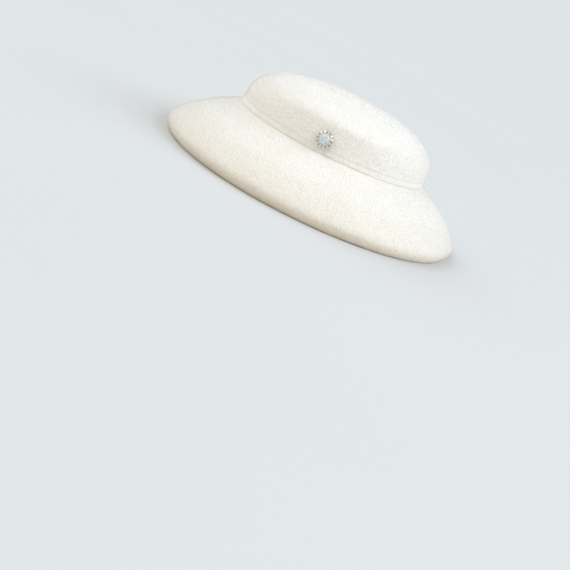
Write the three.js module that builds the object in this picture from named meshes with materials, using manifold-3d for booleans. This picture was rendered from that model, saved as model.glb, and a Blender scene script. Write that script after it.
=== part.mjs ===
// A tilt hat: a shallow crown of blocked felt on a bell-shaped felt brim, with a claw-set
// stone at the front. Millimetres, +Z up, the front faces -Y. The origin is the centre of
// the flat ring on which the hat rests.
import * as THREE from "three";
import { ConvexGeometry } from "three/addons/geometries/ConvexGeometry.js";
import { mergeVertices } from "three/addons/utils/BufferGeometryUtils.js";
import Module from "manifold-3d";

const wasm = await Module();
wasm.setup();

// ---- driving dimensions ----
const feltThickness = 2.4;
const clearance = 0.3; // between pieces that are sewn or pressed together
const turns = 72; // facets round the hat

// The brim's upper face, from the waist to the turned-under lip.
const brimFace = [
  { reach: 88.4, height: 46.2 },
  { reach: 102.6, height: 38.7 },
  { reach: 117.0, height: 30.3 },
  { reach: 129.9, height: 20.7 },
  { reach: 136.6, height: 13.9 },
  { reach: 139.2, height: 8.6 },
  { reach: 138.7, height: 4.0 },
  { reach: 137.2, height: 0.0 },
];
const brimSteps = 14; // facets along the brim's upper face
const waistHeight = brimFace[0].height;
const collarHeight = 9; // the brim's upstand, hidden inside the crown

// The crown: a short upright wall, then a round shoulder and a slightly domed top.
const waistRadius = 87.9;
const wallRadius = 87.2; // at the top of the wall
const wallHeight = 9.5; // above the waist
const crownHeight = 43.2; // above the waist
const shoulderFlatness = 2.5; // 2 is an ellipse, more is a squarer shoulder
const topFlatness = 2.3;
const shoulderSteps = 13;

// How the round sections are shifted sideways and drawn out from front to back.
const sections = [
  { height: 0, shift: 0, depthRatio: 1.06 },
  { height: waistHeight, shift: 1.5, depthRatio: 1.04 },
  { height: waistHeight + crownHeight, shift: 2.8, depthRatio: 1.04 },
];

// The jewel: a faceted stone in a claw cup.
const jewelAngle = -4.6; // degrees from the front, towards the wearer's right
const jewelHeight = 12.1; // above the waist
const clawCount = 12;
const claw = { width: 1.5, thickness: 0.75, innerReach: 6.1, foot: 1.9, top: 5.1, tipReach: 4.7 };
// The cup's outside, from the middle of its back to its rim, then its inside.
const cup = [
  { reach: 0, height: 0 },
  { reach: 4.6, height: 0 },
  { reach: 6.5, height: 2.6 },
  { reach: 6.5, height: 3.5 },
  { reach: 5.95, height: 3.5 },
  { reach: 5.95, height: 2.8 },
  { reach: 4.3, height: 0.8 },
  { reach: 0, height: 0.8 },
];
const stoneLift = 1.1; // from the cup's back to the stone's point
// The stone's rings of corners, from its flat table down to its point; turn is in corners.
const stoneRings = [
  { radius: 3.2, height: 4.5, corners: 8, turn: 0 },
  { radius: 4.6, height: 3.7, corners: 8, turn: 0.5 },
  { radius: 5.6, height: 2.55, corners: 16, turn: 0.25 },
  { radius: 5.6, height: 2.2, corners: 16, turn: 0.25 },
  { radius: 2.9, height: 0.9, corners: 8, turn: 0.5 },
  { radius: 0.5, height: 0, corners: 8, turn: 0 },
];

const feltFinish = { color: 0xf1eee2, roughness: 0.95, metalness: 0 };
const metalFinish = { color: 0xb08a66, roughness: 0.3, metalness: 1 };
const stoneFinish = { color: 0xc6dedb, roughness: 0.05, metalness: 0 };

// ---- profiles ----
const point = (reach, height) => new THREE.Vector2(reach, height);

// A face's points moved by the felt's thickness to its right-hand side, looking along it.
function insideOf(face) {
  return face.map((at, i) => {
    const before = face[Math.max(i - 1, 0)];
    const after = face[Math.min(i + 1, face.length - 1)];
    const along = after.clone().sub(before).setLength(feltThickness);
    return point(at.x + along.y, at.y - along.x);
  });
}

// The crown's outer face, from the middle of the top down to the waist.
function crownFace() {
  const face = [];
  for (let i = shoulderSteps; i >= 0; i--) {
    const turn = (Math.PI * 0.5 * i) / shoulderSteps;
    const reach = i === shoulderSteps ? 0 : wallRadius * Math.cos(turn) ** (2 / shoulderFlatness);
    const rise = (crownHeight - wallHeight) * Math.sin(turn) ** (2 / topFlatness);
    face.push(point(reach, waistHeight + wallHeight + rise));
  }
  face.push(point(waistRadius, waistHeight + clearance));
  return face;
}

// The crown's wall: its outer face, a cut edge at the waist, and its inner face.
function crownProfile() {
  const outer = crownFace();
  const inner = insideOf(outer);
  inner[0].x = 0;
  inner[inner.length - 1].y = outer[outer.length - 1].y;
  return [...outer, ...inner.reverse()].reverse();
}

// The brim's wall: up the inside of its collar and down the outside, over the seat of the
// crown's edge, out to the lip, and back underneath.
function brimProfile() {
  const curve = new THREE.SplineCurve(brimFace.map((row) => point(row.reach, row.height)));
  const upper = curve.getSpacedPoints(brimSteps);
  const under = insideOf(upper);
  const lipInner = point(under[under.length - 1].x - clearance, 0);
  const collarOuter = waistRadius - feltThickness - clearance;
  const collarInner = collarOuter - feltThickness;
  const collarTop = waistHeight + collarHeight;
  const lean = (waistRadius - wallRadius) * (collarHeight / wallHeight);
  const corner = feltThickness / 2;
  return [
    point(collarOuter - lean, collarTop),
    point(collarInner - lean, collarTop),
    point(collarInner, waistHeight - corner),
    point(collarInner + corner, waistHeight - feltThickness),
    ...under,
    lipInner,
    ...upper.reverse(),
    point(collarOuter + clearance, waistHeight),
    point(collarOuter, waistHeight + clearance),
    point(collarOuter - lean, collarTop),
  ];
}

// ---- shaping ----
// The sideways shift and the depth ratio at a height, between the two nearest rows.
function sectionAt(height) {
  const above = Math.max(sections.findIndex((row) => row.height >= height), 1);
  const high = sections[above];
  const low = sections[above - 1];
  const share = (height - low.height) / (high.height - low.height);
  return {
    shift: THREE.MathUtils.lerp(low.shift, high.shift, share),
    depthRatio: THREE.MathUtils.lerp(low.depthRatio, high.depthRatio, share),
  };
}

// A felt piece turned from its profile, then made oval and shifted section by section.
function feltPiece(profile) {
  const geometry = new THREE.LatheGeometry(profile, turns).rotateX(Math.PI / 2);
  const at = geometry.attributes.position;
  for (let i = 0; i < at.count; i++) {
    const section = sectionAt(at.getZ(i));
    at.setX(i, at.getX(i) + section.shift);
    at.setY(i, at.getY(i) * section.depthRatio);
  }
  return geometry;
}

// ---- the jewel ----
// A closed geometry as a manifold-3d solid.
function solid(geometry) {
  const bare = geometry.index ? geometry.toNonIndexed() : geometry.clone();
  bare.deleteAttribute("normal");
  bare.deleteAttribute("uv");
  const merged = mergeVertices(bare, 1e-4);
  const mesh = new wasm.Mesh({
    numProp: 3,
    vertProperties: merged.attributes.position.array,
    triVerts: new Uint32Array(merged.index.array),
  });
  return new wasm.Manifold(mesh);
}

function geometryOf(manifold) {
  const mesh = manifold.getMesh();
  const geometry = new THREE.BufferGeometry();
  geometry.setAttribute("position", new THREE.BufferAttribute(mesh.vertProperties, 3));
  geometry.setIndex(new THREE.BufferAttribute(mesh.triVerts, 1));
  return geometry;
}

// One claw: a strip that stands on the cup's wall and folds over the stone's edge.
function clawGeometry() {
  const outerReach = claw.innerReach + claw.thickness;
  const outline = new THREE.Shape();
  outline.moveTo(claw.innerReach - 0.1, claw.foot);
  outline.lineTo(claw.innerReach, claw.foot - 0.5);
  outline.lineTo(outerReach, claw.foot + 0.7);
  outline.lineTo(outerReach, claw.top - 0.5);
  outline.lineTo(outerReach - 0.5, claw.top + 0.1);
  outline.lineTo(claw.tipReach, claw.top + 0.5);
  outline.lineTo(claw.tipReach - 0.2, claw.top);
  outline.lineTo(claw.innerReach, claw.top - 0.9);
  const strip = new THREE.ExtrudeGeometry(outline, { depth: claw.width, bevelEnabled: false });
  return strip.translate(0, 0, -claw.width / 2).rotateX(Math.PI / 2);
}

// The cup and its claws, soldered into one.
function settingGeometry() {
  const profile = cup.map((row) => point(row.reach, row.height));
  let setting = solid(new THREE.LatheGeometry(profile, clawCount * 3).rotateX(Math.PI / 2));
  for (let i = 0; i < clawCount; i++) {
    const turned = clawGeometry().rotateZ((2 * Math.PI * (i + 0.5)) / clawCount);
    setting = setting.add(solid(turned));
  }
  return geometryOf(setting);
}

function stoneGeometry() {
  const corners = [];
  for (const ring of stoneRings) {
    for (let i = 0; i < ring.corners; i++) {
      const angle = (2 * Math.PI * (i + ring.turn)) / ring.corners;
      const x = ring.radius * Math.cos(angle);
      const y = ring.radius * Math.sin(angle);
      corners.push(new THREE.Vector3(x, y, stoneLift + ring.height));
    }
  }
  return new ConvexGeometry(corners);
}

// ---- assembly ----
function pieceMesh(name, geometry, finish) {
  const mesh = new THREE.Mesh(geometry, new THREE.MeshStandardMaterial(finish));
  mesh.name = name;
  return mesh;
}

// A frame on the crown's wall whose +Z points out of the felt.
function jewelSeat() {
  const height = waistHeight + jewelHeight;
  const face = crownFace();
  const below = face.findIndex((at) => at.y <= height);
  const low = face[below];
  const high = face[below - 1];
  const reach = THREE.MathUtils.mapLinear(height, low.y, high.y, low.x, high.x);
  const { shift, depthRatio } = sectionAt(height);
  const angle = THREE.MathUtils.degToRad(jewelAngle);
  const sideways = Math.sin(angle);
  const forward = -Math.cos(angle);
  const level = new THREE.Vector3(sideways, forward / depthRatio, 0).normalize();
  const lean = Math.atan2(low.x - high.x, high.y - low.y);
  const facing = level.multiplyScalar(Math.cos(lean)).setZ(Math.sin(lean));
  const seat = new THREE.Group();
  seat.position.set(reach * sideways + shift, reach * forward * depthRatio, height);
  seat.position.addScaledVector(facing, clearance);
  seat.quaternion.setFromUnitVectors(new THREE.Vector3(0, 0, 1), facing);
  return seat;
}

const hat = new THREE.Group();
hat.add(pieceMesh("crown", feltPiece(crownProfile()), feltFinish));
hat.add(pieceMesh("brim", feltPiece(brimProfile()), feltFinish));
const jewel = jewelSeat();
jewel.add(pieceMesh("setting", settingGeometry(), metalFinish));
jewel.add(pieceMesh("stone", stoneGeometry(), stoneFinish));
hat.add(jewel);

export default hat;
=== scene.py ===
"""A tilt hat of off-white velour felt with a claw-set stone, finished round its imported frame.

Metres, +Z up, and the front faces -Y, as in the frame. The crown and the brim are regrown
as fine felt shells, sewn together with stab stitches, and the jewel gets its cut and claws.
"""
import math

import bmesh
import bpy
from mathutils import Matrix, Vector


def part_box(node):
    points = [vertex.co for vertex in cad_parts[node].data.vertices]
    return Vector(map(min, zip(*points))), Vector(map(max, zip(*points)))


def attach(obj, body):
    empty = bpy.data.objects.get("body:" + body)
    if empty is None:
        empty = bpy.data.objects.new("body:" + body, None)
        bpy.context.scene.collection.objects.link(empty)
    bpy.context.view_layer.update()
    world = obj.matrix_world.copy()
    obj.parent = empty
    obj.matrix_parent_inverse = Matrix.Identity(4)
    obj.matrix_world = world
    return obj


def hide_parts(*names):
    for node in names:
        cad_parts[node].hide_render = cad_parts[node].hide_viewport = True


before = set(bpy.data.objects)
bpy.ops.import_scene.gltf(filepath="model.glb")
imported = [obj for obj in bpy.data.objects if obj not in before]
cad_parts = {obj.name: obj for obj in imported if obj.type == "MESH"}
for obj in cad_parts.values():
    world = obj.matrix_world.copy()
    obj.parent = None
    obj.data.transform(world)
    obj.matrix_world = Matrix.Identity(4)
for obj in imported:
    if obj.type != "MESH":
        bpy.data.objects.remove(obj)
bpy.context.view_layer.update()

MM = 0.001
FELT = 2.4 * MM
SEGMENTS_PER_STITCH = 2
STITCHES = 122


# ---- modelling helpers ----
def deselect_all():
    if bpy.context.mode != "OBJECT":
        bpy.ops.object.mode_set(mode="OBJECT")
    bpy.ops.object.select_all(action="DESELECT")


def named(name):
    """The active object, given its piece's name."""
    piece = bpy.context.object
    piece.name = name
    piece.data.name = name
    return piece


def modifier(piece, kind, **settings):
    """Adds a modifier with these settings and applies it."""
    bpy.context.view_layer.objects.active = piece
    made = piece.modifiers.new(kind.lower(), kind)
    for key, value in settings.items():
        setattr(made, key, value)
    bpy.ops.object.modifier_apply(modifier=made.name)


def select_vertices(wanted):
    """In edit mode, selects just the vertices that wanted(co) accepts."""
    mesh = bmesh.from_edit_mesh(bpy.context.object.data)
    for vertex in mesh.verts:
        vertex.select = bool(wanted(vertex.co))
    mesh.select_flush(True)
    bmesh.update_edit_mesh(bpy.context.object.data)


def settle_order(piece):
    """Puts the edges and faces in the order of their points, which modelling leaves to chance.

    The fibres are sown face by face, so they fall alike in every run only with this.
    """
    mesh = bmesh.new()
    mesh.from_mesh(piece.data)
    mesh.verts.index_update()
    for parts in (mesh.edges, mesh.faces):
        in_order = sorted(parts, key=lambda part: sorted(point.index for point in part.verts))
        for place, part in enumerate(in_order):
            part.index = place
        parts.sort()
    mesh.to_mesh(piece.data)
    mesh.free()


class Ring:
    """One oval ring of a felt shell: its reach from the centre, height, sideways shift and depth."""

    def __init__(self, reach, height, shift, depth_ratio):
        self.reach = reach
        self.height = height
        self.centre = Vector((shift, 0, height))
        self.depth = reach * depth_ratio


def grow_shell(name, rings, segments, dome=None):
    """An open shell grown ring by ring from a circle, whose edge is extruded and resized.

    A dome fills the last ring with a grid and gives each point its height over its reach.
    """
    deselect_all()
    first = rings[0]
    bpy.ops.mesh.primitive_circle_add(
        vertices=segments, radius=first.reach, location=first.centre, enter_editmode=True
    )
    bpy.ops.transform.resize(value=(1, first.depth / first.reach, 1), center_override=first.centre)
    for below, ring in zip(rings, rings[1:]):
        move = ring.centre - below.centre
        bpy.ops.mesh.extrude_region_move(TRANSFORM_OT_translate={"value": move})
        grow = (ring.reach / below.reach, ring.depth / below.depth, 1)
        bpy.ops.transform.resize(value=grow, center_override=ring.centre)
    if dome:
        bpy.ops.mesh.fill_grid(span=segments // 4)
        top = rings[-1]
        mesh = bmesh.from_edit_mesh(bpy.context.object.data)
        for vertex in mesh.verts:
            if vertex.select and not vertex.is_boundary:
                out = vertex.co + first.centre - top.centre
                reach = math.hypot(out.x, out.y * top.reach / top.depth)
                vertex.co.z = dome(min(reach, top.reach)) - first.centre.z
        bmesh.update_edit_mesh(bpy.context.object.data)
    bpy.ops.mesh.select_all(action="SELECT")
    bpy.ops.mesh.normals_make_consistent(inside=False)
    bpy.ops.object.mode_set(mode="OBJECT")
    bpy.ops.object.transform_apply(location=True, rotation=True, scale=True)
    settle_order(bpy.context.object)
    return named(name)


# ---- camera ----
camera_lens = 70.65
camera_distance = 1.0
camera_elevation = math.radians(8.2)
camera_roll = math.radians(26.2)
hat_aside = math.radians(2.33)  # how far the hat stands right of the picture's centre
hat_above = math.radians(7.25)  # and how far above it
hat_point = Vector((0, 0, 0.045))


def add_camera():
    deselect_all()
    back = Vector((0, -math.cos(camera_elevation), math.sin(camera_elevation)))
    bpy.ops.object.camera_add(location=hat_point + back * camera_distance)
    camera = bpy.context.object
    camera.name = "camera"
    camera.data.lens = camera_lens
    level = Matrix.Rotation(math.pi / 2 - camera_elevation, 4, "X")
    toward_hat = Vector((math.tan(hat_aside), math.tan(hat_above), -1))
    aim = Vector((0, 0, -1)).rotation_difference(toward_hat).inverted()
    turned = level @ Matrix.Rotation(camera_roll, 4, "Z") @ aim.to_matrix().to_4x4()
    camera.rotation_euler = turned.to_euler()
    bpy.context.scene.camera = camera


add_camera()


# ---- material helpers ----
def put_kind(tree, kind, inputs=None, **settings):
    """Adds a node with these settings; an input takes a value or another node's output."""
    made = tree.nodes.new(kind)
    for key, value in settings.items():
        setattr(made, key, value)
    for key, value in (inputs or {}).items():
        if isinstance(value, bpy.types.NodeSocket):
            tree.links.new(value, made.inputs[key])
        else:
            made.inputs[key].default_value = value
    return made


def put(tree, kind, inputs=None, **settings):
    return put_kind(tree, "ShaderNode" + kind, inputs, **settings)


def math_node(tree, operation, *values):
    made = put(tree, "Math", dict(enumerate(values)), operation=operation)
    return made.outputs[0]


def vector_math(tree, operation, one, other):
    """The vector, or for a dot product or a distance the value, of two vectors."""
    made = put(tree, "VectorMath", {0: one, 1: other}, operation=operation)
    return made.outputs["Value" if operation in ("DOT_PRODUCT", "DISTANCE") else "Vector"]


def scaled(tree, vector, share):
    made = put(tree, "VectorMath", {0: vector, 3: share}, operation="SCALE")
    return made.outputs["Vector"]


def ramp_between(tree, value, low, high, at_low=0.0, at_high=1.0):
    """A smooth step from one value to another as the input goes from low to high."""
    inputs = {"Value": value, "From Min": low, "From Max": high}
    inputs.update({"To Min": at_low, "To Max": at_high})
    return put(tree, "MapRange", inputs, interpolation_type="SMOOTHSTEP").outputs[0]


def mixed(tree, share, low, high):
    """One colour turning into another as the share goes from 0 to 1."""
    made = put(tree, "Mix", data_type="RGBA")
    tree.links.new(share, made.inputs["Factor"])
    colours = [at for at in made.inputs if at.type == "RGBA"]
    for socket, value in zip(colours, (low, high)):
        if isinstance(value, bpy.types.NodeSocket):
            tree.links.new(value, socket)
        else:
            socket.default_value = value
    return next(at for at in made.outputs if at.type == "RGBA")


def noise(tree, at, scale, detail=2.0, roughness=0.5):
    inputs = {"Vector": at, "Scale": scale, "Detail": detail, "Roughness": roughness}
    return put(tree, "TexNoise", inputs).outputs["Fac"]


def new_material(name):
    material = bpy.data.materials.new(name)
    material.use_nodes = True
    return material, material.node_tree, material.node_tree.nodes["Principled BSDF"]


# ---- the studio ----
paper_colour = (0.628, 0.635, 0.632)
paper_bounce = (0.50, 0.47, 0.43)  # what it gives back to the hat, as if flags stood round it
horizon_colour = (0.740, 0.777, 0.793)
sky_lights = [
    # degrees round from the front towards +X, degrees up, colour times brightness
    (0, 28, (0.30, 0.24, 0.19)),
    (0, 55, (0.34, 0.36, 0.40)),
    (60, 28, (0.80, 0.84, 0.92)),
    (90, 28, (4.06, 4.32, 4.62)),
    (180, 28, (0.20, 0.38, 0.56)),
    (225, 28, (2.50, 2.69, 2.88)),
    (270, 28, (0.58, 0.60, 0.60)),
    (290, 28, (0.40, 0.39, 0.37)),
    (315, 28, (0.40, 0.29, 0.13)),
    (315, 55, (1.64, 1.59, 1.47)),
]
sky_light_tightness = 8.0
sky_lights_fade = (math.radians(8), math.radians(25))  # below the first, the air gives no light


def add_floor():
    deselect_all()
    bpy.ops.mesh.primitive_circle_add(vertices=128, radius=6.0, fill_type="NGON")
    paper = named("studio_floor")
    material, tree, surface = new_material("studio_paper")
    grain = noise(tree, put(tree, "TexCoord").outputs["Object"], 3.0, 1.0)
    tone = ramp_between(tree, grain, 0.3, 0.7, 0.992, 1.0)
    shade = scaled(tree, paper_colour, tone)
    seen = put(tree, "LightPath").outputs["Is Camera Ray"]
    shade = mixed(tree, seen, (*paper_bounce, 1), shade)
    tree.links.new(shade, surface.inputs["Base Color"])
    surface.inputs["Roughness"].default_value = 1.0
    surface.inputs["Specular IOR Level"].default_value = 0.0
    paper.data.materials.append(material)


def add_sky():
    """Soft studio light from broad lights in the air, before an even wall of the floor's colour."""
    world = bpy.data.worlds.new("studio_air")
    world.use_nodes = True
    tree = world.node_tree
    facing = put(tree, "TexCoord").outputs["Generated"]
    up = put(tree, "SeparateXYZ", {0: facing}).outputs["Z"]
    high = ramp_between(tree, up, *(math.sin(above) for above in sky_lights_fade))
    total = None
    for around, above, colour in sky_lights:
        turn, lift = math.radians(around), math.radians(above)
        flat = math.cos(lift)
        toward = (math.sin(turn) * flat, -math.cos(turn) * flat, math.sin(lift))
        share = vector_math(tree, "DOT_PRODUCT", facing, toward)
        share = math_node(tree, "MAXIMUM", share, 0.0)
        share = math_node(tree, "POWER", share, sky_light_tightness)
        light = scaled(tree, colour, share)
        total = vector_math(tree, "ADD", total, light) if total else light
    glow = scaled(tree, total, high)
    low = math_node(tree, "SUBTRACT", 1.0, high)
    seen = put(tree, "LightPath").outputs["Is Camera Ray"]
    unseen = math_node(tree, "SUBTRACT", 1.0, seen)
    glow = scaled(tree, glow, unseen)
    low = math_node(tree, "MAXIMUM", low, seen)
    band = scaled(tree, horizon_colour, low)
    both = vector_math(tree, "ADD", glow, band)
    tree.links.new(both, tree.nodes["Background"].inputs["Color"])
    bpy.context.scene.world = world
    bpy.context.scene.view_settings.view_transform = "Standard"


def add_softbox(name, place, size, power):
    """A small soft lamp, for a glint in the stone."""
    deselect_all()
    bpy.ops.object.light_add(type="AREA", location=place)
    lamp = bpy.context.object
    lamp.name = name
    lamp.data.shape = "DISK"
    lamp.data.size = size
    lamp.data.energy = power
    lamp.rotation_euler = (hat_point - Vector(place)).to_track_quat("-Z", "Y").to_euler()


add_floor()
add_sky()
add_softbox("glint_lamp", (0.62, -0.62, 0.63), 0.12, 0.45)


# ---- the crown and the brim ----
crown_low, crown_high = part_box("crown")
brim_low, brim_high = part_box("brim")

waist_shift = (crown_low.x + crown_high.x) / 2
waist_reach = (crown_high.x - crown_low.x) / 2
seam_gap = 0.3 * MM  # between the crown and the brim
waist_height = crown_low.z - seam_gap
crown_height = crown_high.z - waist_height
lip_reach = (brim_high.x - brim_low.x) / 2

sections = [
    # height, sideways shift, depth over width
    (0.0, 0.0, 1.06),
    (waist_height, waist_shift, 1.04),
    (waist_height + crown_height, waist_shift + 1.3 * MM, 1.04),
]


fullest_height = 30 * MM  # above the waist
fullness_spread = 7.5 * MM
fullness = 0.08


def front_fullness(height):
    """How much further the crown's shoulder stands out in front than at its sides."""
    off = (height - waist_height - fullest_height) / fullness_spread
    return 1 + fullness * math.exp(-off * off)


def ring_at(reach, height):
    """A ring with the shift and the depth ratio that belong to its height."""
    low, high = sections[:2] if height < waist_height else sections[1:]
    share = (height - low[0]) / (high[0] - low[0])
    shift = low[1] + (high[1] - low[1]) * share
    depth_ratio = low[2] + (high[2] - low[2]) * share
    return Ring(reach, height, shift, depth_ratio * front_fullness(height))


wall_height = 0.22 * crown_height
wall_reach = 0.992 * waist_reach
shoulder_flatness = 2.5  # 2 is an ellipse, more is a squarer shoulder
top_flatness = 2.3
shoulder_steps = 26
dome_share = 0.42  # the share of the wall's reach that the dome's grid fills
stitch_height = 4.5 * MM  # above the waist
wall_rises = [0.1 * MM, 0.8 * MM, 2.2 * MM, 3.5 * MM, stitch_height, 5.5 * MM, 6.8 * MM, 8.2 * MM]


def crown_dome(reach):
    """The height of the crown's rounded shoulder and top over a reach."""
    out = (reach / wall_reach) ** shoulder_flatness
    rise = max(0.0, 1 - out) ** (1 / top_flatness)
    return waist_height + wall_height + (crown_height - wall_height) * rise


def crown_rings():
    rings = []
    for rise in wall_rises:
        lean = (waist_reach - wall_reach) * rise / wall_height
        rings.append(ring_at(waist_reach - lean, waist_height + rise))
    for step in range(shoulder_steps):
        turn = 0.5 * math.pi * step / shoulder_steps
        reach = wall_reach * math.cos(turn) ** (2 / shoulder_flatness)
        if reach > dome_share * wall_reach:
            rings.append(ring_at(reach, crown_dome(reach)))
    return rings


brim_face = [
    # share of the way out from the waist to the widest place, share of the waist's height
    (0.0, 1.0),
    (0.280, 0.838),
    (0.563, 0.656),
    (0.817, 0.448),
    (0.935, 0.318),
    (0.984, 0.245),
    (1.0, 0.180),
    (0.985, 0.112),
    (0.950, 0.050),
    (0.905, 0.0),
]


def smooth_line(points, steps):
    """Points at even parameter steps on a Catmull-Rom line through the given points."""
    line = []
    for i in range(len(points) - 1):
        before = points[max(i - 1, 0)]
        start = points[i]
        end = points[i + 1]
        after = points[min(i + 2, len(points) - 1)]
        for step in range(steps):
            t = step / steps
            line.append(
                0.5
                * (
                    2 * start
                    + (end - before) * t
                    + (2 * before - 5 * start + 4 * end - after) * t**2
                    + (3 * start - before - 3 * end + after) * t**3
                )
            )
    line.append(points[-1])
    return line


brim_steps = 4  # rings from each row of brim_face to the next


def brim_rings():
    waist_edge = waist_reach + 0.5 * MM
    points = [
        Vector((waist_edge + (lip_reach - waist_edge) * out, waist_height * up))
        for out, up in brim_face
    ]
    collar_reach = waist_reach - FELT - seam_gap
    collar = [
        ring_at(collar_reach - 0.7 * MM, waist_height + 9 * MM),
        ring_at(collar_reach - 0.4 * MM, waist_height + 4.5 * MM),
        ring_at(collar_reach, waist_height + 0.5 * MM),
    ]
    return collar + [ring_at(p.x, p.y) for p in smooth_line(points, brim_steps)]


def soften(piece, strength, size, depth=1):
    """Slight unevenness of a hand-blocked felt, least where the piece meets another."""
    cloud = bpy.data.textures.new(piece.name + "_unevenness", "CLOUDS")
    cloud.noise_scale = size
    cloud.noise_depth = depth
    modifier(
        piece, "DISPLACE", texture=cloud, strength=strength, mid_level=0.5, vertex_group="free",
        texture_coords="LOCAL",
    )


def weigh_free(piece, share):
    """A vertex group for the displacement, weighted by share(co)."""
    group = piece.vertex_groups.new(name="free")
    for vertex in piece.data.vertices:
        group.add([vertex.index], share(vertex.co), "REPLACE")


def smooth_share(value, low, high):
    t = min(max((value - low) / (high - low), 0.0), 1.0)
    return t * t * (3 - 2 * t)


near_line = 0.4 * MM  # how far from a line of points one still belongs to it
line_depth = 0.22 * MM
stab_depth = 0.65 * MM
swell_height = 2.3 * MM  # above the stitch line, where the felt swells again
swell = 0.15 * MM


def press_stitches(crown):
    """Draws the felt in along the stitch line, and deeper at every stab."""
    deselect_all()
    crown.select_set(True)
    bpy.context.view_layer.objects.active = crown
    bpy.ops.object.mode_set(mode="EDIT")
    line = waist_height + stitch_height

    def turn_of(co):
        return math.atan2(co.y, co.x - waist_shift) / math.tau * STITCHES

    select_vertices(lambda co: abs(co.z - line) < near_line)
    bpy.ops.transform.shrink_fatten(value=-line_depth)
    select_vertices(
        lambda co: abs(co.z - line) < near_line and abs(turn_of(co) - round(turn_of(co))) < 0.25
    )
    bpy.ops.transform.shrink_fatten(value=-stab_depth)
    select_vertices(lambda co: abs(co.z - line - swell_height) < near_line)
    bpy.ops.transform.shrink_fatten(value=swell)
    bpy.ops.object.mode_set(mode="OBJECT")


held_reach = 1.5 * MM  # from the waist, where the felt is held in its shape
free_reach = 9 * MM  # from the waist, where it is free to be uneven


def felt_crown():
    crown = grow_shell("felt_crown", crown_rings(), STITCHES * SEGMENTS_PER_STITCH, crown_dome)
    press_stitches(crown)
    weigh_free(crown, lambda co: smooth_share(co.z - waist_height, held_reach, free_reach))
    modifier(crown, "SOLIDIFY", thickness=FELT, offset=-1, use_even_offset=True)
    modifier(crown, "SUBSURF", levels=1, render_levels=1)
    soften(crown, 1.1 * MM, 35 * MM)
    soften(crown, 0.35 * MM, 6 * MM)
    bpy.ops.object.shade_smooth()
    return crown


def felt_brim():
    brim = grow_shell("felt_brim", brim_rings(), STITCHES * SEGMENTS_PER_STITCH)
    weigh_free(
        brim,
        lambda co: smooth_share(waist_height - co.z, held_reach, free_reach)
        * (0.35 + 0.65 * smooth_share(co.z, 0, 4 * MM)),
    )
    modifier(brim, "SOLIDIFY", thickness=FELT, offset=-1, use_even_offset=True)
    modifier(brim, "SUBSURF", levels=1, render_levels=1)
    soften(brim, 1.6 * MM, 38 * MM)
    soften(brim, 0.4 * MM, 7 * MM)
    bpy.ops.object.shade_smooth()
    return brim


# ---- the nap ----
nap_lean = math.radians(-26)  # the brushed nap leans over towards the wearer's right
brush_pull = 0.6
upright_pull = 0.65
stray_pull = 0.6
fibre_radius = 0.12 * MM  # at its root
fibre_length = 1.5 * MM
fibre_lift = 0.6 * MM  # the height of its middle over the felt
shortest_scale = 0.6
longest_scale = 1.2
fibres_per_square_metre = 1.15e6
fibre_seed = 7
bare_lip = 1.5 * MM  # the height up to which the brim has no nap
bare_round_jewel = 7.4 * MM
bare_above_stitches = 0.5 * MM


def nap_fibre():
    """One short fibre of the pile: a three-sided spike that stands on the origin."""
    deselect_all()
    bpy.ops.mesh.primitive_cone_add(vertices=3, radius1=fibre_radius, depth=fibre_length)
    fibre = named("nap_fibre")
    bpy.ops.object.mode_set(mode="EDIT")
    bpy.ops.mesh.select_all(action="SELECT")
    bpy.ops.transform.translate(value=(0, 0, fibre_lift))
    bpy.ops.object.mode_set(mode="OBJECT")
    return fibre


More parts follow.
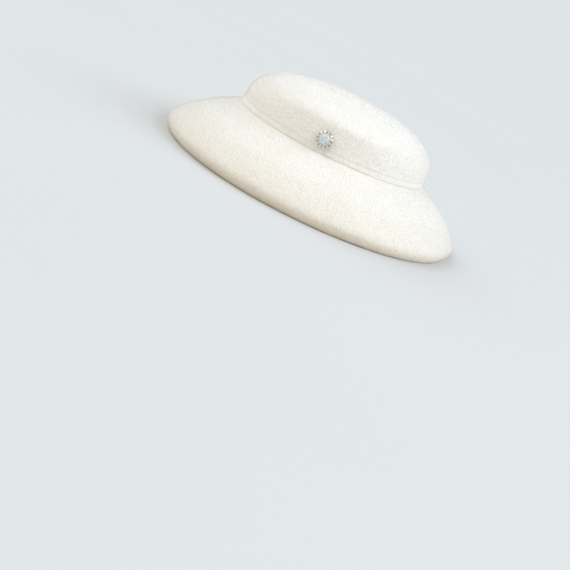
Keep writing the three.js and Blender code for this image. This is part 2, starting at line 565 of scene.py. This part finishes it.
def nap_tree(fibre, front, below_waist, jewel_at):
    """Geometry nodes that sow fibres over the outer face of one half of a felt piece."""
    tree = bpy.data.node_groups.new("brushed_nap", "GeometryNodeTree")
    tree.interface.new_socket("Felt", in_out="INPUT", socket_type="NodeSocketGeometry")
    tree.interface.new_socket("Nap", in_out="OUTPUT", socket_type="NodeSocketGeometry")
    given = tree.nodes.new("NodeGroupInput")
    result = tree.nodes.new("NodeGroupOutput")

    def geometry(kind, inputs=None, **settings):
        return put_kind(tree, kind, inputs, **settings)

    def compare(value, operation, limit):
        inputs = {0: value, 1: limit}
        return geometry("FunctionNodeCompare", inputs, operation=operation).outputs[0]

    def both(one, other):
        return geometry("FunctionNodeBooleanMath", {0: one, 1: other}).outputs[0]

    place = geometry("GeometryNodeInputPosition").outputs[0]
    normal = geometry("GeometryNodeInputNormal").outputs[0]
    along = geometry("ShaderNodeSeparateXYZ", {0: place}).outputs
    outer = compare(vector_math(tree, "DOT_PRODUCT", place, normal), "GREATER_THAN", 0.0)
    half = compare(along["Y"], "LESS_THAN" if front else "GREATER_EQUAL", 0.0)
    chosen = both(outer, half)
    if below_waist:
        chosen = both(chosen, compare(along["Z"], "LESS_THAN", waist_height))
        chosen = both(chosen, compare(along["Z"], "GREATER_THAN", bare_lip))
    else:
        away = vector_math(tree, "DISTANCE", place, jewel_at)
        chosen = both(chosen, compare(away, "GREATER_THAN", bare_round_jewel))
        strip = waist_height + stitch_height + bare_above_stitches
        chosen = both(chosen, compare(along["Z"], "GREATER_THAN", strip))
    sown = geometry(
        "GeometryNodeDistributePointsOnFaces",
        {
            "Mesh": given.outputs[0],
            "Selection": chosen,
            "Density": fibres_per_square_metre,
            "Seed": fibre_seed,
        },
    )
    stray = geometry("FunctionNodeRandomValue", data_type="FLOAT_VECTOR")
    stray.inputs[0].default_value = (-stray_pull,) * 3
    stray.inputs[1].default_value = (stray_pull,) * 3
    stray.inputs["Seed"].default_value = fibre_seed + 1
    brushed = (brush_pull * math.sin(nap_lean), 0.0, brush_pull * math.cos(nap_lean))
    lean = vector_math(tree, "ADD", stray.outputs[0], brushed)
    upright = scaled(tree, sown.outputs["Normal"], upright_pull)
    toward = vector_math(tree, "ADD", lean, upright)
    turned = geometry("FunctionNodeAlignRotationToVector", {"Vector": toward})
    kept = geometry(
        "GeometryNodeStoreNamedAttribute",
        {"Geometry": sown.outputs["Points"], "Name": "felt_normal"},
        data_type="FLOAT_VECTOR",
    )
    tree.links.new(sown.outputs["Normal"], kept.inputs["Value"])
    grown = geometry("FunctionNodeRandomValue", data_type="FLOAT")
    grown.inputs[2].default_value = shortest_scale
    grown.inputs[3].default_value = longest_scale
    grown.inputs["Seed"].default_value = fibre_seed + 2
    spike = geometry("GeometryNodeObjectInfo", {"Object": fibre})
    spread = geometry(
        "GeometryNodeInstanceOnPoints",
        {
            "Points": kept.outputs[0],
            "Instance": spike.outputs["Geometry"],
            "Rotation": turned.outputs[0],
            "Scale": grown.outputs[1],
        },
    )
    real = geometry("GeometryNodeRealizeInstances", {0: spread.outputs[0]})
    tree.links.new(real.outputs[0], result.inputs[0])
    return tree


def grow_nap(felt_piece, fibre, name, front, jewel_at):
    """The nap of one half of a felt piece, sown on a copy of that piece."""
    below_waist = felt_piece.name == "felt_brim"
    deselect_all()
    felt_piece.select_set(True)
    bpy.context.view_layer.objects.active = felt_piece
    bpy.ops.object.duplicate()
    nap = named(name)
    nap.data.materials.clear()
    sown = nap_tree(fibre, front, below_waist, jewel_at)
    modifier(nap, "NODES", node_group=sown)
    return nap


# ---- the stitches ----
dash_length = 1.5 * MM
dash_thickness = 0.5 * MM
dash_sink = 0.45 * MM


def copies(piece, name, places):
    """Copies a piece to each place, the copies joined into one mesh."""
    made = []
    for place in places:
        copy = bpy.data.objects.new(name, piece.data.copy())
        bpy.context.scene.collection.objects.link(copy)
        copy.matrix_world = place
        made.append(copy)
    bpy.data.objects.remove(piece)
    deselect_all()
    for copy in made:
        copy.select_set(True)
    bpy.context.view_layer.objects.active = made[0]
    bpy.ops.object.join()
    bpy.ops.object.transform_apply(location=True, rotation=True, scale=True)
    return named(name)


def wall_place(turn, height, sink):
    """A frame on the crown's wall at this angle and height: X along the wall, Z out of it."""
    rise = height - waist_height
    lean = (waist_reach - wall_reach) / wall_height
    ring = ring_at(waist_reach - lean * rise, height)
    spot = Vector((math.cos(turn) * ring.reach, math.sin(turn) * ring.depth, 0))
    out = Vector((math.cos(turn) / ring.reach, math.sin(turn) / ring.depth, 0)).normalized()
    along = Vector((0, 0, 1)).cross(out)
    up = out.cross(along)
    axes = Matrix((along, up, out)).transposed().to_4x4()
    return Matrix.Translation(ring.centre + spot - out * sink) @ axes


def thread_dash(length, thickness):
    """One short dash of sewing thread, its ends rounded."""
    deselect_all()
    bpy.ops.mesh.primitive_uv_sphere_add(
        segments=8, ring_count=6, radius=thickness / 2, enter_editmode=True
    )
    bpy.ops.transform.resize(value=(length / thickness, 1, 1))
    bpy.ops.object.mode_set(mode="OBJECT")
    bpy.ops.object.shade_smooth()
    settle_order(bpy.context.object)
    return named("thread_dash")


def stab_stitches():
    line = waist_height + stitch_height
    turns = [math.tau * i / STITCHES for i in range(STITCHES)]
    outside = [wall_place(turn, line, dash_sink) for turn in turns]
    inside = [wall_place(turn, line, 2 * FELT + dash_sink) for turn in turns]
    dash = thread_dash(dash_length, dash_thickness)
    return copies(dash, "stab_stitches", outside + inside)


# ---- the jewel ----
jewel_turn = math.radians(-4.6)
jewel_height = 12.1 * MM
jewel_lean = math.radians(5.4)
jewel_scale = 1.04
jewel_sink = 0.15 * MM
jewel_gap = 0.3 * MM
claws = 12
cup_segments = 72
cup_edge = 0.12 * MM  # how far its edges are rounded
claw_edge = 0.11 * MM
cup_profile = [
    # reach and height of the cup's outside, from its back to its rim
    (0.8 * MM, 0.0),
    (4.5 * MM, 0.0),
    (4.9 * MM, 0.25 * MM),
    (6.25 * MM, 2.3 * MM),
    (6.45 * MM, 2.8 * MM),
    (6.45 * MM, 3.6 * MM),
]
cup_wall = 0.35 * MM
claw_thickness = 0.5 * MM
claw_path = [
    # reach, height, width and inward lean in degrees, from a claw's foot to its folded tip
    (6.5 * MM, 2.2 * MM, 2.3 * MM, 0),
    (6.55 * MM, 3.4 * MM, 2.3 * MM, 5),
    (6.45 * MM, 4.4 * MM, 2.2 * MM, 25),
    (6.0 * MM, 5.1 * MM, 1.9 * MM, 55),
    (5.35 * MM, 5.4 * MM, 1.5 * MM, 85),
    (4.8 * MM, 5.4 * MM, 0.9 * MM, 100),
]
stone_lift = 1.1 * MM
foil_below = 0.1  # facets that face up less than this have foil
stone_rings = [
    # radius, height, corners, turn in corners: from the flat table down to the point
    (3.2 * MM, 4.5 * MM, 8, 0),
    (4.6 * MM, 3.7 * MM, 8, 0.5),
    (5.8 * MM, 2.55 * MM, 16, 0.25),
    (5.8 * MM, 2.2 * MM, 16, 0.25),
    (2.9 * MM, 0.9 * MM, 8, 0.5),
    (0.5 * MM, 0.0, 8, 0),
]


def jewel_place():
    """The frame the jewel stands in, on the crown's wall, with +Z out of the felt."""
    height = waist_height + jewel_height
    share = (jewel_height - wall_height) / (crown_height - wall_height)
    reach = wall_reach * (1 - share**top_flatness) ** (1 / shoulder_flatness)
    ring = ring_at(reach - jewel_sink, height)
    sideways, forward = math.sin(jewel_turn), -math.cos(jewel_turn)
    spot = ring.centre + Vector((sideways * ring.reach, forward * ring.depth, 0))
    level = Vector((sideways, forward * ring.reach / ring.depth, 0)).normalized()
    facing = level * math.cos(jewel_lean) + Vector((0, 0, math.sin(jewel_lean)))
    turn = Vector((0, 0, 1)).rotation_difference(facing)
    place = Matrix.Translation(spot + facing * jewel_gap) @ turn.to_matrix().to_4x4()
    return place @ Matrix.Scale(jewel_scale, 4)


def one_claw():
    """A claw grown from a small plate along its bend, its edges rounded."""
    deselect_all()
    bpy.ops.mesh.primitive_plane_add(size=1, enter_editmode=True)
    reach, height, width, _ = claw_path[0]
    bpy.ops.transform.resize(value=(claw_thickness, width, 1))
    bpy.ops.transform.translate(value=(reach, 0, height))
    for before, after in zip(claw_path, claw_path[1:]):
        place = (after[0], 0, after[1])
        move = (after[0] - before[0], 0, after[1] - before[1])
        bpy.ops.mesh.extrude_region_move(TRANSFORM_OT_translate={"value": move})
        bpy.ops.transform.resize(value=(1, after[2] / before[2], 1), center_override=place)
        turn = math.radians(after[3] - before[3])
        bpy.ops.transform.rotate(value=turn, orient_axis="Y", center_override=place)
    bpy.ops.mesh.select_all(action="SELECT")
    bpy.ops.mesh.normals_make_consistent(inside=False)
    bpy.ops.object.mode_set(mode="OBJECT")
    bpy.ops.object.transform_apply(location=True, rotation=True, scale=True)
    claw = named("claw")
    settle_order(claw)
    modifier(claw, "BEVEL", width=claw_edge, segments=2, limit_method="ANGLE")
    return claw


def smooth_by_angle(piece, degrees):
    deselect_all()
    piece.select_set(True)
    bpy.context.view_layer.objects.active = piece
    bpy.ops.object.shade_smooth_by_angle(angle=math.radians(degrees))


def place_in_mesh(piece, place):
    """Carries a piece to its place, which ends up in its mesh."""
    deselect_all()
    piece.select_set(True)
    bpy.context.view_layer.objects.active = piece
    piece.matrix_world = place
    bpy.ops.object.transform_apply(location=True, rotation=True, scale=True)


def claw_setting(place):
    rings = [Ring(reach, height, 0, 1) for reach, height in cup_profile]
    cup = grow_shell("cup", rings, cup_segments)
    modifier(cup, "SOLIDIFY", thickness=cup_wall, offset=-1, use_even_offset=True)
    modifier(cup, "BEVEL", width=cup_edge, segments=2, limit_method="ANGLE")
    cup.data.materials.append(bpy.data.materials["cup_metal_painted_shade"])
    around = [Matrix.Rotation(math.tau * (i + 0.5) / claws, 4, "Z") for i in range(claws)]
    ring_of_claws = copies(one_claw(), "ring_of_claws", around)
    ring_of_claws.data.materials.append(bpy.data.materials["claw_metal"])
    deselect_all()
    ring_of_claws.select_set(True)
    cup.select_set(True)
    bpy.context.view_layer.objects.active = cup
    bpy.ops.object.join()
    setting = named("claw_setting")
    smooth_by_angle(setting, 40)
    place_in_mesh(setting, place)
    return setting


def cut_stone(place):
    """A brilliant cut: rings of corners under one skin, its back facets silvered."""
    deselect_all()
    bpy.ops.object.add(type="MESH", enter_editmode=True)
    for radius, height, corners, turn in stone_rings:
        bpy.ops.mesh.primitive_circle_add(
            vertices=corners,
            radius=radius,
            location=(0, 0, stone_lift + height),
            rotation=(0, 0, math.tau * turn / corners),
        )
    bpy.ops.mesh.select_all(action="SELECT")
    bpy.ops.mesh.convex_hull()
    bpy.ops.mesh.select_all(action="SELECT")
    bpy.ops.mesh.normals_make_consistent(inside=False)
    bpy.ops.object.mode_set(mode="OBJECT")
    stone = named("cut_stone")
    stone.data.materials.append(bpy.data.materials["stone_glass"])
    stone.data.materials.append(bpy.data.materials["stone_foil"])
    for face in stone.data.polygons:
        face.material_index = 1 if face.normal.z < foil_below else 0
    place_in_mesh(stone, place)
    return stone


# ---- materials ----
white = (1, 1, 1, 1)
felt_shade = (0.914, 0.896, 0.836, 1)
felt_light = (0.952, 0.942, 0.908, 1)
# painted light: the crown's wall is lightened towards this
painted_wall_light = (0.99, 0.985, 0.965, 1)  # what the crown's wall is lightened towards
# painted shade: the brim's lower part is darkened and warmed towards this
painted_skirt_shade = (0.87, 0.83, 0.75, 1)
# painted shade: the brim's turned-under edge is darkened and warmed towards this
painted_lip_shade = (0.96, 0.89, 0.76, 1)
# painted shade of the pile's gaps, laid over random flecks
painted_fleck_shade = (0.917, 0.887, 0.838, 1)
# painted shade: the bare sewn strip is darkened by this, to the shade of the nap beside it
painted_strip_shade = (0.945, 0.94, 0.93, 1)
thread_shade = (0.83, 0.80, 0.72, 1)
thread_light = (0.95, 0.93, 0.87, 1)
metal_tarnish = (0.90, 0.78, 0.68, 1)
metal_bright = (1.0, 0.96, 0.92, 1)
stone_aqua = (0.60, 0.83, 0.85, 1)
foil_aqua = (0.75, 0.96, 0.98, 1)


def group_tree(name, value_input, outputs):
    """A node group with one value going in and these outputs, each a name and a socket type."""
    group = bpy.data.node_groups.new(name, "ShaderNodeTree")
    group.interface.new_socket(value_input, in_out="INPUT", socket_type="NodeSocketFloat")
    for label, kind in outputs:
        group.interface.new_socket(label, in_out="OUTPUT", socket_type=kind)
    given = group.nodes.new("NodeGroupInput").outputs[0]
    return group, given, group.nodes.new("NodeGroupOutput")


def mixed_value(tree, share, low, high):
    """One value turning into another as the share goes from 0 to 1."""
    made = put(tree, "Mix", data_type="FLOAT")
    for socket, value in zip(made.inputs[:4], (share, None, low, high)):
        if value is not None:
            tree.links.new(value, socket)
    return made.outputs[0]


def felt_fibres_group():
    """The velour's brushed streaks, fuzz and mottling, as a colour and a height.

    The flecks are random grain and painted shade of the pile's gaps, strongest on the upright
    faces where the pile stands open. The sewn strip between the waist and the seam is pressed,
    and a little darker with painted shade. The crown's wall is lightened with painted light, and
    the brim is darkened and warmed towards the floor with painted shade.
    """
    outputs = [("Base Color", "NodeSocketColor"), ("Height", "NodeSocketFloat")]
    group, fleck_depth, out = group_tree("felt_fibres", "Fleck Depth", outputs)
    place = put(group, "TexCoord").outputs["Object"]

    def stretched(width, length):
        inputs = {"Vector": place, "Rotation": (0, nap_lean, 0), "Scale": (width, width, length)}
        return put(group, "Mapping", inputs, vector_type="TEXTURE").outputs[0]

    streaks = noise(group, stretched(1.3 * MM, 6 * MM), 1.0, 2.0, 0.6)
    fuzz = noise(group, stretched(0.45 * MM, 1.1 * MM), 1.0, 2.0, 0.6)
    mottle = noise(group, place, 90.0, 2.0, 0.5)
    up = put(group, "SeparateXYZ", {0: place}).outputs["Z"]
    # Painted shade: the brim's turned-under edge darkens and warms from 12 mm down to 3 mm.
    lip_shade_share = ramp_between(group, up, 3 * MM, 12 * MM, 1.0, 0.0)
    tone = math_node(group, "MULTIPLY", streaks, 0.45)
    tone = math_node(group, "MULTIPLY_ADD", mottle, 0.35, tone)
    tone = math_node(group, "MULTIPLY_ADD", fuzz, 0.2, tone)
    tone = ramp_between(group, tone, 0.3, 0.7)
    ivory = mixed(group, tone, felt_shade, felt_light)
    fleck = noise(group, place, 700.0, 3.0, 0.65)
    fleck = ramp_between(group, fleck, 0.36, 0.62, 1.0, 0.0)
    wall = ramp_between(group, up, waist_height + 24 * MM, waist_height + 33 * MM, 1.0, 0.25)
    below = ramp_between(group, up, waist_height - 26 * MM, waist_height - 12 * MM, 1.0, 0.25)
    above = ramp_between(group, up, waist_height - 1 * MM, waist_height + 4 * MM)
    # The flecks are random, but strongest on the crown's wall and the brim's lower part: painted
    # shade.
    pile_gap_shade_mask = mixed_value(group, above, below, wall)
    fleck = math_node(group, "MULTIPLY", fleck, pile_gap_shade_mask)
    fleck = math_node(group, "MULTIPLY", fleck, fleck_depth)
    # Painted light: the crown's wall above the waist is lightened.
    wall_light_share = math_node(group, "MULTIPLY", above, math_node(group, "MULTIPLY", wall, 0.7))
    ivory = mixed(group, wall_light_share, ivory, painted_wall_light)
    fleck = mixed(group, fleck, white, painted_fleck_shade)
    ivory = vector_math(group, "MULTIPLY", ivory, fleck)
    seam = waist_height + stitch_height
    below_seam = ramp_between(group, up, seam + 0.2 * MM, seam + 1 * MM, 1.0, 0.0)
    above_waist = ramp_between(group, up, waist_height - 0.5 * MM, waist_height)
    # Painted shade: the bare strip between the waist and the stitch line is darkened a little.
    pressed = math_node(group, "MULTIPLY", below_seam, above_waist)
    pressed = mixed(group, pressed, white, painted_strip_shade)
    ivory = vector_math(group, "MULTIPLY", ivory, pressed)
    # Painted shade: the brim darkens and warms from 32 mm down to 8 mm above the floor.
    skirt_shade_share = ramp_between(group, up, 8 * MM, 32 * MM, 0.6, 0.0)
    ivory = mixed(group, skirt_shade_share, ivory, painted_skirt_shade)
    # painted shade of the brim's turned-under edge
    ivory = mixed(group, lip_shade_share, ivory, painted_lip_shade)
    height = math_node(group, "MULTIPLY", streaks, 0.40 * MM)
    height = math_node(group, "MULTIPLY_ADD", fuzz, 0.22 * MM, height)
    pile = noise(group, place, 520.0, 2.0, 0.6)
    height = math_node(group, "MULTIPLY_ADD", pile, 0.5 * MM, height)
    group.links.new(ivory, out.inputs["Base Color"])
    group.links.new(height, out.inputs["Height"])
    return group


def metal_wear_group():
    """Slight tarnish on small metal work, as a colour and a roughness."""
    outputs = [("Base Color", "NodeSocketColor"), ("Roughness", "NodeSocketFloat")]
    group, shade, out = group_tree("metal_wear", "Shade", outputs)
    place = put(group, "TexCoord").outputs["Object"]
    patches = noise(group, place, 900.0, 3.0, 0.6)
    share = ramp_between(group, patches, 0.35, 0.7)
    # Shade scales the colour down: painted shade for a piece that sits in the shade of others.
    colour = scaled(group, mixed(group, share, metal_tarnish, metal_bright), shade)
    group.links.new(colour, out.inputs["Base Color"])
    group.links.new(ramp_between(group, patches, 0.3, 0.7, 0.32, 0.18), out.inputs["Roughness"])
    return group


def add_group(tree, group, value):
    made = tree.nodes.new("ShaderNodeGroup")
    made.node_tree = group
    made.inputs[0].default_value = value
    return made


def felt_material():
    material, tree, surface = new_material("velour_felt")
    fibres = add_group(tree, felt_fibres_group(), 1.3)
    tree.links.new(fibres.outputs["Base Color"], surface.inputs["Base Color"])
    bump = put(tree, "Bump", {"Height": fibres.outputs["Height"], "Distance": 1.0})
    tree.links.new(bump.outputs[0], surface.inputs["Normal"])
    surface.inputs["Roughness"].default_value = 1.0
    surface.inputs["Specular IOR Level"].default_value = 0.2
    surface.inputs["Sheen Weight"].default_value = 0.4
    surface.inputs["Sheen Tint"].default_value = (1.0, 0.98, 0.94, 1)
    return material


def nap_material():
    material, tree, surface = new_material("velour_nap")
    fibres = add_group(tree, bpy.data.node_groups["felt_fibres"], 1.1)
    tree.links.new(fibres.outputs["Base Color"], surface.inputs["Base Color"])
    face = put(tree, "NewGeometry").outputs["True Normal"]
    own = scaled(tree, face, 0.8)
    root = put(tree, "Attribute", attribute_name="felt_normal").outputs["Vector"]
    both = vector_math(tree, "ADD", own, root)
    place = put(tree, "TexCoord").outputs["Object"]
    curl = put(tree, "TexNoise", {"Vector": place, "Scale": 520.0, "Detail": 2.0}).outputs["Color"]
    curl = scaled(tree, vector_math(tree, "SUBTRACT", curl, (0.5, 0.5, 0.5)), 3.0)
    both = vector_math(tree, "ADD", both, curl)
    facing = put(tree, "VectorMath", {0: both}, operation="NORMALIZE").outputs[0]
    tree.links.new(facing, surface.inputs["Normal"])
    surface.inputs["Roughness"].default_value = 1.0
    surface.inputs["Specular IOR Level"].default_value = 0.2
    surface.inputs["Sheen Weight"].default_value = 0.4
    return material


def thread_material():
    material, tree, surface = new_material("cream_thread")
    place = put(tree, "TexCoord").outputs["Object"]
    twist = noise(tree, place, 2500.0, 1.0)
    colour = mixed(tree, twist, thread_shade, thread_light)
    tree.links.new(colour, surface.inputs["Base Color"])
    surface.inputs["Roughness"].default_value = 0.7
    return material


def claw_materials():
    wear = metal_wear_group()
    # The cup is darkened to 0.4 with painted shade, the shade between the claws; the tarnish patches
    # are the metal's own.
    for name, shade in (("claw_metal", 1.0), ("cup_metal_painted_shade", 0.4)):
        _, tree, surface = new_material(name)
        worn = add_group(tree, wear, shade)
        tree.links.new(worn.outputs["Base Color"], surface.inputs["Base Color"])
        tree.links.new(worn.outputs["Roughness"], surface.inputs["Roughness"])
        surface.inputs["Metallic"].default_value = 1.0


def snapped(tree, vector, step):
    """A vector rounded to whole steps, so that each flat facet keeps one value."""
    return vector_math(tree, "SNAP", vector, (step, step, step))


table_facing = (-0.08, -0.992, 0.094)
# painted highlight: facets turned this way are whitened, as if they caught the light
painted_glint_side = (-0.75, -0.1, 0.6)
# painted reflection: picks where the white cells in the stone fall
flash_shift = (0.039, 0.021, 0.063)  # picks where in the stone its flashes fall


def facet_share(tree):
    """A value for each flat facet: low on the table, high if turned up and to the wearer's right."""
    facet = put(tree, "NewGeometry").outputs["True Normal"]
    chance = put(tree, "TexWhiteNoise", {"Vector": snapped(tree, facet, 0.02)}).outputs["Value"]
    # Painted highlight: facets turned up and to the wearer's right are whitened; the white noise
    # gives each facet a random tone, and the table is kept aqua.
    toward = vector_math(tree, "DOT_PRODUCT", facet, painted_glint_side)
    share = math_node(tree, "MULTIPLY_ADD", toward, 0.5, 0.2)
    share = math_node(tree, "MULTIPLY_ADD", chance, 0.4, share)
    ahead = vector_math(tree, "DOT_PRODUCT", facet, table_facing)
    table = ramp_between(tree, ahead, 0.96, 0.99)
    return math_node(tree, "MULTIPLY_ADD", table, -0.35, share)


def stone_materials():
    _, tree, surface = new_material("stone_glass")
    place = put(tree, "TexCoord").outputs["Object"]
    turned = put(tree, "Mapping", {"Vector": place, "Location": flash_shift}).outputs[0]
    # The stone's aqua is its own colour; the white cells and whitened facets are painted
    # reflections.
    flashes = put(tree, "TexVoronoi", {"Vector": turned, "Scale": 430.0}).outputs["Color"]
    flash = put(tree, "SeparateXYZ", {0: flashes}).outputs["X"]
    share = math_node(tree, "MULTIPLY", facet_share(tree), 0.6)
    share = math_node(tree, "MULTIPLY_ADD", flash, 0.75, share)
    share = ramp_between(tree, share, 0.2, 0.7)
    tint = mixed(tree, share, stone_aqua, white)
    tree.links.new(tint, surface.inputs["Base Color"])
    surface.inputs["Roughness"].default_value = 0.02
    surface.inputs["IOR"].default_value = 1.8
    surface.inputs["Transmission Weight"].default_value = 0.25
    _, tree, surface = new_material("stone_foil")
    # The foil's facets are whitened the same way: painted highlight over its aqua.
    tint = mixed(tree, facet_share(tree), foil_aqua, white)
    tree.links.new(tint, surface.inputs["Base Color"])
    surface.inputs["Metallic"].default_value = 0.7
    surface.inputs["Roughness"].default_value = 0.1


# ---- the hat, put together ----
felt = felt_material()
nap_felt = nap_material()
claw_materials()
stone_materials()
fibre = nap_fibre()
seat = jewel_place()
for piece, node in ((felt_crown(), "crown"), (felt_brim(), "brim")):
    piece.data.materials.append(felt)
    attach(piece, "root")
    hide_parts(node)
    for front, side in ((True, "front"), (False, "back")):
        nap = grow_nap(piece, fibre, node + "_nap_" + side, front, seat.translation)
        nap.data.materials.append(nap_felt)
        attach(nap, "root")
bpy.data.objects.remove(fibre)

stitches = stab_stitches()
stitches.data.materials.append(thread_material())
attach(stitches, "root")

for piece, node, slot in (
    (claw_setting(seat), "setting", "setting_metal"),
    (cut_stone(seat), "stone", "stone"),
):
    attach(piece, "root")
    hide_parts(node)
